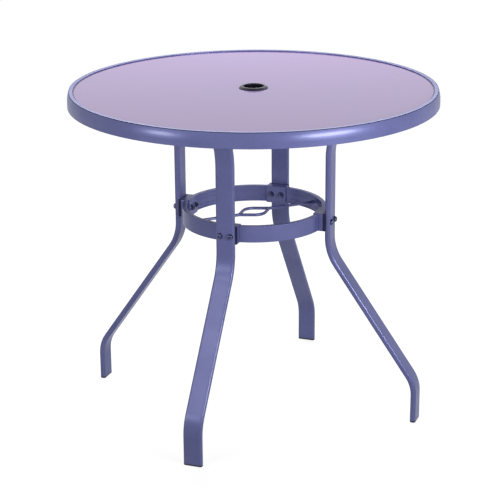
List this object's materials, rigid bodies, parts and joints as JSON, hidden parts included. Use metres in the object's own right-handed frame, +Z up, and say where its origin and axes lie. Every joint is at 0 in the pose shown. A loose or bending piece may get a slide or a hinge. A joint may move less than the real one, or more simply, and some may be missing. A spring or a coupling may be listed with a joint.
{
  "type": "umbrella table",
  "caption": "Round patio table with a rolled rim, drop-in panel, umbrella hole, bent flat-tube legs and a bolted support ring with a rod guide for the pole.",
  "frame": {"origin": "on the floor, on the axis of the umbrella hole, in the middle of the four feet", "axes": "+Z up along the umbrella hole's axis; one leg lies along each of +X, +Y, -X and -Y"},
  "size_m": [0.8128, 0.8128, 0.7385],
  "materials": {
    "frame_paint": "metallic powder coat, satin",
    "panel_glass": "back-painted, opaque, polished face",
    "black_plastic": "moulded, fine grain",
    "black_vinyl": "soft vinyl strip",
    "clear_rubber": "soft, translucent",
    "dark_steel": "dark zinc plated",
    "rivet_metal": "bare"
  },
  "bodies": {
    "root": {"rim_frame": "frame_paint", "support_ring": "frame_paint", "guide_rod_left": "frame_paint", "guide_rod_right": "frame_paint", "table_panel": "panel_glass", "panel_gasket": "black_vinyl", "umbrella_ring": "black_plastic", "umbrella_ring_nut": "black_plastic", "panel_pads": "clear_rubber", "leg_bolts": "dark_steel", "leg_washers": "dark_steel", "leg_nuts": "dark_steel", "rim_rivets": "rivet_metal", "leg_right": "frame_paint", "ring_saddle_right": "frame_paint", "rim_strap_right": "frame_paint", "leg_cradle_right": "black_plastic", "foot_cap_right": "black_plastic", "leg_back": "frame_paint", "ring_saddle_back": "frame_paint", "rim_strap_back": "frame_paint", "leg_cradle_back": "black_plastic", "foot_cap_back": "black_plastic", "leg_left": "frame_paint", "ring_saddle_left": "frame_paint", "rim_strap_left": "frame_paint", "leg_cradle_left": "black_plastic", "foot_cap_left": "black_plastic", "leg_front": "frame_paint", "ring_saddle_front": "frame_paint", "rim_strap_front": "frame_paint", "leg_cradle_front": "black_plastic", "foot_cap_front": "black_plastic"}
  },
  "joints": []
}
